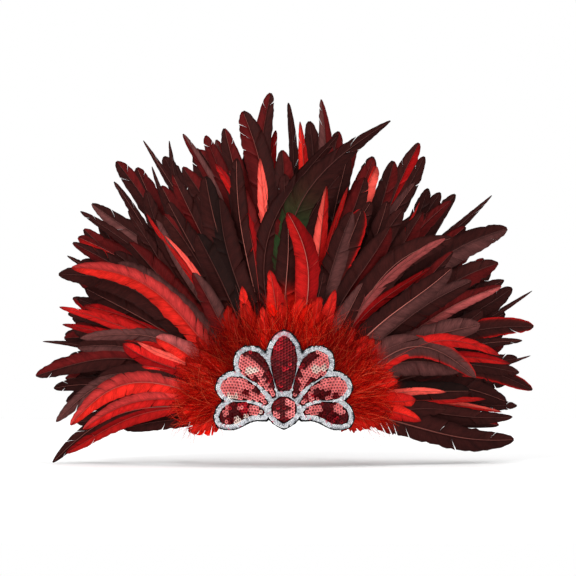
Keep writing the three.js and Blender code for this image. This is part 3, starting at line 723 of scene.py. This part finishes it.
# the rear strips are sewn more closely: one more feather wherever two tips stand well apart
def fillers(stripRows, strip):
    if strip < 2:
        return []
    more = []
    ordered = sorted(stripRows, key=lambda row: row[0])
    for before, after in zip(ordered, ordered[1:]):
        if after[0] - before[0] > feathers["fillGap"]:
            lower, upper = sorted((before[1], after[1]))
            reach = (0.6 * lower + 0.4 * upper) * rng.uniform(0.94, 1.0)
            code = "DM" if rng.uniform() < 0.3 else "DD"
            more.append([(before[0] + after[0]) / 2, reach, (before[2] + after[2]) / 2,
                         feathers["fillerWidth"], rng.uniform(0.2, 0.5), code, 0.0])
    return more


number = 0
for side, rows, fromTurn, toTurn in (("left", leftRows, -108, -24), ("centre", centreRows, -36, 36),
                                     ("right", rightRows, 24, 108)):
    for strip, stripRows in enumerate(rows):
        level = 2 * strip + (2 if side == "centre" else 1)
        gather = Gather()
        addTape(gather, fromTurn, toTurn, level, -fan["stripWidth"] / 2, fan["stripWidth"] / 2)
        for row in stripRows + fillers(stripRows, strip):
            addFeather(gather, row, level, number)
            number += 1
        piece = gather.build(f"{side}Strip{strip + 1}", [vaneFinish, quillFinish, tapeFinish])
        place(piece, f"feathers_{side}_{strip + 1}")
    print(side, "feathers done,", number, "so far")


def addDown():
    gather = Gather()
    addTape(gather, -down["tapeEnd"], down["tapeEnd"], 0, down["tapeNear"], down["tapeFar"])
    for tuft in range(down["tufts"]):
        angle = down["spread"] * (2 * tuft / (down["tufts"] - 1) - 1)
        reach = down["reach"] + down["ragged"] * math.sin(2.3 * tuft)
        for plume in range(down["perTuft"]):
            turned = angle + rng.uniform(-1, 1) * down["plumeTurn"]
            share = reach * rng.uniform(0.86, 1.0) / fan["longest"]
            bow = rng.uniform(-1, 1) * down["plumeBow"]
            width = down["plumeWidth"]
            row = [turned, share, bow, width, width, "BB", plume / 2, turned * 0.97]
            addFeather(gather, row, 0, 400 + tuft, True)
    t = np.linspace(0, 1, down["strandPoints"])
    for strand in range(down["strands"]):
        turn = rng.uniform(-down["spread"], down["spread"])
        start = rootPoint(turn, rng.uniform(down["strandFrom"], down["strandTo"]))
        length = rng.uniform(down["strandShort"], down["strandLong"])
        length *= down["topShare"] if abs(turn) < down["topAngle"] else 1.0
        angles = math.radians(turn) + rng.normal(0, down["stray"]) + rng.normal(0, down["curl"]) * t
        steps = np.stack([np.sin(angles), np.cos(angles)], 1) * length / (len(t) - 1)
        line = start + np.concatenate([[[0, 0]], np.cumsum(steps[:-1], 0)])
        if np.hypot(*line[-1]) > down["reach"] + down["ragged"] - 1:
            continue
        rise = rng.uniform(0.6, 2.2) + t * rng.uniform(-0.5, 2.2)
        tone = linear(*down["tones"][rng.choice(4, p=down["toneShares"])])
        # painted shade and painted brightening of the strand by its angle
        tone = tone * rng.uniform(0.8, 1.1) * glowAt(turn)
        radius = down["strandWidth"] * rng.uniform(0.7, 1.2) * (1 - 0.85 * t)
        tube(gather, onFan(line, 0, rise), radius, tone, 0, 3)
    piece = gather.build("downCollar", [downFinish, quillFinish, tapeFinish])
    place(piece, "down_collar")


addDown()
print("down collar done")

crest = {
    "petalLength": 54.5, "steps": 80, "feltGap": 0.5, "feltThickness": 2.0, "seamGap": 0.3,
    "petalThickness": 1.2, "cup": 0.42, "hole": 0.5, "bend": 0.62, "rise": 0.3, "edge": 0.12, "raised": 0.25,
    "redPitch": 2.9, "redSize": 4.1, "redSides": 12, "redMargin": 1.1, "redApart": 0.72, "redTilt": 17,
    # the hole tones are painted shade at each sequin's hole
    "redHoleShade": (40, 0, 6), "silverPitch": 1.95, "silverSize": 2.9, "silverSides": 10,
    "silverOffsets": (1.45, 3.55), "silverClear": 0.72, "silverApart": 1.62, "silverTilt": 20,
    "silverHoleShade": (60, 60, 66), "stray": (226, 120, 136),
}
# base, half width at the base, angle, turn along the length, length, half width, fullest at
petals = {
    "top": [(0, 0.275), 0.1, 0, 0, 1.0, 0.198, 0.64],
    "upper": [(0.175, 0.147), 0.037, 39, 38, 1.0, 0.231, 0.74],
    "middle": [(0.303, 0.018), 0.037, 71, 60, 0.94, 0.202, 0.72],
    "lower": [(0.358, -0.138), 0.037, 103, 78, 0.87, 0.176, 0.7],
    "drop": [(0, -0.312), 0.0, 0, 0, 0.486, 0.231, 0.54],
}
# tones of the red sequins: red is their own colour, pink and pale are painted highlights, dark and maroon
# painted dark reflections
sequinTones = {
    "dark": (84, 2, 8), "red": (196, 22, 40), "pink": (255, 134, 134), "pale": (255, 220, 208),
    "maroon": (124, 6, 18),
}
# painted highlights and painted dark reflections on a petal's sequins: the tone of the rest, then place,
# radius and tone of each patch
glints = {
    "petal_top": ["dark", (-4, 57, 12, "maroon"), (-5, 66, 5, "red"), (-6, 58, 4, "red"),
        (2, 38, 2.6, "red")],
    "petal_upper_left": ["dark", (-42, 43, 8, "pink"), (-34, 39, 8, "pink"), (-28, 34, 7, "pink"),
        (-38, 33, 8, "pink"), (-44, 36, 6, "pink"), (-23, 25, 4.5, "pink"), (-18, 18, 4, "pink"),
        (-14, 13, 4, "pink"), (-34, 35, 3.2, "pale"), (-28, 37, 3, "pale"), (-27, 27, 3, "dark")],
    "petal_middle_left": ["pink", (-26, 17, 5, "dark"), (-22, 14, 4, "dark"), (-38, 14.5, 4, "maroon"),
        (-55, 8, 4, "pale"), (-49, 7, 4, "pale"), (-12, 8, 3, "maroon")],
    "petal_lower_left": ["dark", (-27, -3, 8, "pink"), (-20, -3, 5, "pink"), (-40, -3, 5, "red"),
        (-42, -2, 3, "pink"), (-58, -5, 4, "pink"), (-46, -15, 4, "pale"), (-38, -12, 4, "pale"),
        (-30, -10, 4, "pink"), (-22, -8, 4, "pale"), (-58, -19, 3, "pink")],
    "petal_upper_right": ["pink", (9, 15, 4.5, "dark"), (11, 23, 4.5, "dark"), (14, 32, 5, "dark"),
        (19, 40, 5, "dark"), (25, 47, 4.5, "dark"), (32, 50, 3.5, "dark"), (29, 26, 3.2, "dark"),
        (24, 23, 3, "maroon"), (29, 37, 3.6, "pale"), (40, 38, 3.2, "pale"), (34, 36, 2.5, "pale")],
    "petal_middle_right": ["pink", (33, 12, 5, "dark"), (39, 12, 4.5, "dark"), (44, 11, 3.5, "dark"),
        (52.5, 10, 3.2, "maroon"), (21, 9, 2.6, "maroon")],
    "petal_lower_right": ["dark", (23, -2, 5, "pink"), (30, -4, 5, "pink"), (33, -2, 4, "pink"),
        (53, -3, 4, "pink"), (57, -5, 4.5, "pink"), (45, -14, 5, "maroon")],
    "petal_drop": ["dark", (7, 3, 4, "pink"), (9, -1, 3.6, "pink"), (6, -7, 4, "pink"),
        (-8, -8, 3.5, "pink"), (-4, -14, 3, "maroon")],
}


class Petal:
    def __init__(self, base, baseHalf, angle, bend, length, half, fullest, mirror):
        self.t = np.linspace(0, 1, crest["steps"] + 1)
        middle = (self.t[1:] + self.t[:-1]) / 2
        heading = np.radians(angle + bend * (middle - 0.5))
        steps = np.stack([np.sin(heading), np.cos(heading)], 1) * length / crest["steps"]
        facing = np.radians(angle + bend * (self.t - 0.5))
        flip = np.array([-1 if mirror else 1, 1])
        line = np.array(base) + np.concatenate([[[0, 0]], np.cumsum(steps, 0)])
        self.line = line * crest["petalLength"] * flip
        self.side = np.stack([np.cos(facing), -np.sin(facing)], 1) * flip
        self.ahead = np.stack([np.sin(facing), np.cos(facing)], 1) * flip
        peak = math.log(0.5) / math.log(fullest)
        swell = np.maximum(0, np.sin(math.pi * self.t ** peak)) ** 0.55
        half = (baseHalf * (1 - self.t) + half * swell)[:, None] * crest["petalLength"]
        self.length = length * crest["petalLength"]
        self.outline = np.concatenate([self.line - self.side * half, (self.line + self.side * half)[::-1]])


crestPetals = {}
for name, values in petals.items():
    if name in ("top", "drop"):
        crestPetals["petal_" + name] = Petal(*values, False)
    else:
        crestPetals[f"petal_{name}_right"] = Petal(*values, False)
        crestPetals[f"petal_{name}_left"] = Petal(*values, True)


# distance from each point to a closed outline, negative inside
def outsideOf(points, outline):
    a, b = outline, np.roll(outline, -1, 0)
    edge = b - a
    rel = points[:, None] - a[None]
    share = np.clip((rel * edge).sum(2) / ((edge ** 2).sum(1) + 1e-12), 0, 1)
    near = np.sqrt((((rel - share[..., None] * edge) ** 2).sum(2))).min(1)
    x, z = points[:, 0][:, None], points[:, 1][:, None]
    crosses = (a[:, 1] > z) != (b[:, 1] > z)
    at = a[:, 0] + (z - a[:, 1]) * edge[:, 0] / np.where(edge[:, 1] == 0, 1e-9, edge[:, 1])
    inside = (crosses & (x < at)).sum(1) % 2 == 1
    return np.where(inside, -near, near)


def between(at, places, values):
    return np.array([np.interp(at, places, values[:, k]) for k in (0, 1)])


# the spots that lie at least so far from each one kept before them
def thinned(spots, apart):
    kept = []
    for spot in spots:
        if all((spot[0] - k[0]) ** 2 + (spot[1] - k[1]) ** 2 > apart ** 2 for k in kept):
            kept.append(spot)
    return kept


def crestDepth(x, clear):
    return fanDepth(x, 0, 0) - fan["levelPitch"] - clear


# a cupped round sequin with a hole, sewn on over the felt
def addSequin(gather, x, z, clear, size, ahead, tilt, tone, holeShade, sides):
    y = crestDepth(x, clear)
    along = np.array([ahead[0], 0.0, ahead[1]])
    normal = unit(np.array([crestDepth(x + 1.0, clear) - y, -1.0, 0.0])) + tilt[0] * along
    normal = unit(normal + tilt[1] * np.cross(normal, along))
    along = unit(along - normal * along.dot(normal))
    side = np.cross(along, normal)
    turn = np.linspace(0, 2 * math.pi, sides, endpoint=False)
    ring = along * np.cos(turn)[:, None] + side * np.sin(turn)[:, None]
    radius, cup, edge, hole = size / 2, crest["cup"] * size / 4, crest["edge"], crest["hole"]
    bend, rise = crest["bend"] * radius, crest["rise"] * cup
    upper = [(hole, 0.0), (bend, rise), (radius, cup)]
    layers = upper + [(r, h - edge) for r, h in upper[::-1]]
    middle = np.array([x, y, z])
    points = np.concatenate([middle + ring * r + normal * (h + crest["raised"]) for r, h in layers])
    index = np.arange(len(layers) * sides).reshape(len(layers), sides)
    outer, beside = np.roll(index, -1, 0), np.roll(index, -1, 1)
    faces = np.stack([index, outer, np.roll(outer, -1, 1), beside], -1).reshape(-1, 4)
    # the ring at the hole takes a darker tone: painted shade in the hole
    shade = np.repeat(np.stack([linear(*holeShade)] + [tone] * 5), sides, 0)
    gather.add(points, faces, shade, None, 0, False)


# the solid's own outline, slightly softened: the backing under the sequins, and the felt
def backingFrom(node, name, material, voxel, rounds):
    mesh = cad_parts[node].data.copy()
    mesh.materials.clear()
    mesh.materials.append(material)
    piece = newObject(name, mesh)
    remesh = piece.modifiers.new("even", "REMESH")
    remesh.mode = "VOXEL"
    remesh.voxel_size = voxel * mm
    relax = piece.modifiers.new("relax", "SMOOTH")
    relax.iterations = rounds
    relax.use_y = False
    graph = bpy.context.evaluated_depsgraph_get()
    done = bpy.data.meshes.new_from_object(piece.evaluated_get(graph))
    piece.modifiers.clear()
    piece.data = done
    for polygon in done.polygons:
        polygon.use_smooth = True
    return piece


def joined(name, *pieces):
    bpy.ops.object.select_all(action="DESELECT")
    for piece in pieces:
        piece.select_set(True)
    bpy.context.view_layer.objects.active = pieces[0]
    bpy.ops.object.join()
    pieces[0].name = name
    pieces[0].data.name = name
    return pieces[0]


redCount = 0
sewnAt = crest["feltGap"] + crest["feltThickness"] + crest["seamGap"] + crest["petalThickness"]
for name, petal in crestPetals.items():
    gather = Gather()
    spots = []
    pitch = crest["redPitch"]
    for line in range(-5, 6):
        for along in np.arange((line % 2) * pitch / 2 + 0.6, petal.length, pitch):
            centre, side, ahead = (between(along / petal.length, petal.t, values)
                                   for values in (petal.line, petal.side, petal.ahead))
            spots.append((*(centre + side * line * pitch), *ahead))
    spots = np.array(spots)
    spots = spots[outsideOf(spots[:, :2], petal.outline) < -crest["redMargin"]]
    kept = thinned(spots, crest["redApart"] * pitch)
    baseTone, *patches = glints[name]
    for x, z, *ahead in kept:
        letter = baseTone
        for px, pz, radius, tone in patches:
            if math.hypot(x - px, z - pz) < radius + rng.normal(0, 0.6):
                letter = tone
        # the painted dark reflections vary from sequin to sequin
        if letter == "dark":
            letter = rng.choice(["dark", "maroon", "red"], p=[0.8, 0.16, 0.04])
        colour = np.minimum(linear(*sequinTones[letter]) * rng.uniform(0.75, 1.2), 1)
        tilt = (math.radians(crest["redTilt"]) + rng.normal(0, 0.07), rng.normal(0, 0.1))
        addSequin(gather, x, z, sewnAt, crest["redSize"], ahead, tilt, colour, crest["redHoleShade"],
                  crest["redSides"])
    redCount += len(kept)
    title = "".join(w.capitalize() if i else w for i, w in enumerate(name.split("_")))
    sequins = gather.build(title, [redSequin])
    backing = backingFrom(name, title + "Backing", redCloth, 0.8, 5)
    place(joined(title, sequins, backing), name)
print("red sequins done,", redCount)

# greys of the silver sequins: mostly bright, with dark ones among them as painted dark reflections, and
# painted shade beside the top petal, over the drop and at its tip
silverGreys = {
    "open": [255, 246, 186, 84, 40], "shares": [0.5, 0.18, 0.08, 0.14, 0.1],
    "upper": [200, 120, 84, 60], "drop": [210, 130, 80], "below": [150, 110, 80],
}


def silverTone(x, z):
    grey = rng.choice(silverGreys["open"], p=silverGreys["shares"])
    # the stretches that follow take greys of painted shade
    if -26 < x < -8 and 38 < z < 58 or 8 < x < 21 and 44 < z < 72:
        grey = rng.choice(silverGreys["upper"])
    if abs(x) < 16 and 4 < z < 16:
        grey = rng.choice(silverGreys["drop"])
    if z < -21:
        grey = rng.choice(silverGreys["below"])
    if abs(x + 3) < 8 and z > 66 or x < -40 and rng.uniform() < 0.08 or rng.uniform() < 0.04:
        return linear(*crest["stray"])
    return linear(grey, grey + 1, min(255, grey + 6))


gather = Gather()
kept = []
for offset in crest["silverOffsets"]:
    for petal in crestPetals.values():
        outline = petal.outline
        edge = unit(np.roll(outline, -1, 0) - np.roll(outline, 1, 0))
        normal = np.stack([-edge[:, 1], edge[:, 0]], 1)
        grown = outline + normal * offset
        if outsideOf(grown[20:21], outline)[0] < 0:
            grown = outline - normal * offset
        closed = np.vstack([grown, grown[:1]])
        run = np.concatenate([[0], np.cumsum(np.linalg.norm(np.diff(closed, axis=0), axis=1))])
        for along in np.arange(0, run[-1], crest["silverPitch"]):
            here, beyond = between(along, run, closed), between(along + 0.8, run, closed)
            kept.append((*here, *unit(beyond - here), offset))
kept = np.array(kept)
clearOf = np.min([outsideOf(kept[:, :2], petal.outline) for petal in crestPetals.values()], axis=0)
kept = kept[clearOf > np.minimum(kept[:, 4], crest["silverOffsets"][0]) * crest["silverClear"]]
strung = thinned(kept, crest["silverApart"])
for x, z, ax, az, offset in strung:
    if ax or az:
        tone = silverTone(x, z)
        tilt = (math.radians(crest["silverTilt"]) + rng.normal(0, 0.16), rng.normal(0, 0.22))
        addSequin(gather, x, z, sewnAt, crest["silverSize"], (ax, az), tilt, tone, crest["silverHoleShade"],
                  crest["silverSides"])
trim = gather.build("silverTrim", [silverSequin])
backing = backingFrom("crest_trim", "trimBacking", greyCloth, 0.75, 30)
place(joined("silverTrim", trim, backing), "crest_trim")
print("silver sequins done,", len(strung))

place(backingFrom("crest_felt", "crestFelt", feltFinish, 1.0, 20), "crest_felt")

loop = {
    "bandHeight": 32, "bandDrop": 8, "halfAngle": 100, "strapThickness": 1.5, "strapHeight": 25, "lap": 9,
    "turnStep": 1.5, "rows": 25, "rounding": 1.2, "ribDepth": 0.08, "ribPitch": 2.1, "gathers": 96,
    "gatherDepth": 0.12,
}


# a band round the head, with rounded edges; only a gathered one has ribs
def addLoop(gather, clear, thickness, fromTurn, toTurn, bottom, height, wave):
    turns = np.linspace(fromTurn, toTurn, int((toTurn - fromTurn) / loop["turnStep"]) + 1)[:, None]
    heights = np.linspace(0, 1, loop["rows"])
    a = np.radians(turns)
    inset = np.minimum(1, np.minimum(heights, 1 - heights) * height / loop["rounding"])
    rounded = np.sqrt(np.clip(1 - (1 - inset) ** 2, 0, 1))
    ribs = loop["ribDepth"] * np.cos(heights * height * 2 * math.pi / loop["ribPitch"])
    ribs = ribs * rounded * min(1, wave * 8)
    gathers = wave * np.sin(a * loop["gathers"]) * rounded
    sides = []
    for way in (1, -1):
        r = clear + thickness / 2 * (1 + way * (0.25 + 0.75 * rounded)) + way * ribs + gathers
        x = (fan["headWidth"] / 2 + r) * np.sin(a)
        y = -(fan["headDepth"] / 2 + r) * np.cos(a)
        sides.append(np.stack([x, y, np.broadcast_to(bottom + heights * height, x.shape)], -1))
    uv = np.stack(np.broadcast_arrays(turns * 1.5, heights * height), -1)
    addShell(gather, *sides, linear(40, 16, 18), uv)


gather = Gather()
addLoop(gather, 0, fan["bandThickness"], -loop["halfAngle"], loop["halfAngle"], -loop["bandDrop"],
        loop["bandHeight"], 0.0)
place(gather.build("headBand", [bandFinish]), "head_band")
gather = Gather()
strapEnd = loop["halfAngle"] - loop["lap"]
addLoop(gather, fan["bandThickness"] + crest["seamGap"], loop["strapThickness"], strapEnd, 360 - strapEnd,
        -loop["bandDrop"] + (loop["bandHeight"] - loop["strapHeight"]) / 2, loop["strapHeight"],
        loop["gatherDepth"])
place(gather.build("elasticStrap", [elasticFinish]), "elastic_strap")
print("band and elastic done")

stage = {
    "floorSize": 2.6, "floorGap": 0.0006, "worldLight": 0.32, "lens": 250, "distance": 4.0,
    "aim": (0.004, -0.1, 0.117), "lightAim": (0, 0, 0.1),
}
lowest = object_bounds()[0][2]
floorMesh = bpy.data.meshes.new("floor")
half = stage["floorSize"] / 2
corners = [(-half, -half, 0), (half, -half, 0), (half, half, 0), (-half, half, 0)]
floorMesh.from_pydata(corners, [], [(0, 1, 2, 3)])
floor = newObject("floor", floorMesh)
floor.location = (0, 0, lowest - stage["floorGap"])
floorFinish = newMaterial("paleFloor", **{"Roughness": 0.9, "Base Color": (0.9, 0.9, 0.9, 1)})[0]
floorMesh.materials.append(floorFinish)

world = bpy.data.worlds.new("studio")
bpy.context.scene.world = world
world.use_nodes = True
sky = world.node_tree
rays = addNode(sky, "LightPath", {})
seen = calculate(sky, "MAXIMUM", rays["Is Camera Ray"], rays["Is Glossy Ray"])
strength = remap(sky, seen, stage["worldLight"], 1.0)
feed(sky, sky.nodes["Background"], {"Color": (1, 1, 1, 1), "Strength": strength})

lights = {
    "key": [(-1.2, -1.9, 1.7), 1.0, 36],
    "fill": [(1.7, -2.2, 0.5), 1.4, 12],
    "top": [(0.2, 0.1, 2.2), 1.4, 34],
    "rear": [(0.0, 2.2, 1.2), 1.4, 16],
}
for name, (where, size, power) in lights.items():
    data = bpy.data.lights.new(name, "AREA")
    data.size = size
    data.energy = power
    lamp = newObject(name, data)
    lamp.location = where
    aim = Vector(stage["lightAim"]) - Vector(where)
    lamp.rotation_euler = aim.to_track_quat("-Z", "Y").to_euler()

cameraData = bpy.data.cameras.new("camera")
cameraData.lens = stage["lens"]
camera = newObject("camera", cameraData)
camera.location = (stage["aim"][0], stage["aim"][1] - stage["distance"], stage["aim"][2])
camera.rotation_euler = (math.radians(90), 0, 0)
bpy.context.scene.camera = camera
bpy.context.scene.view_settings.view_transform = "Standard"
print("stage done")
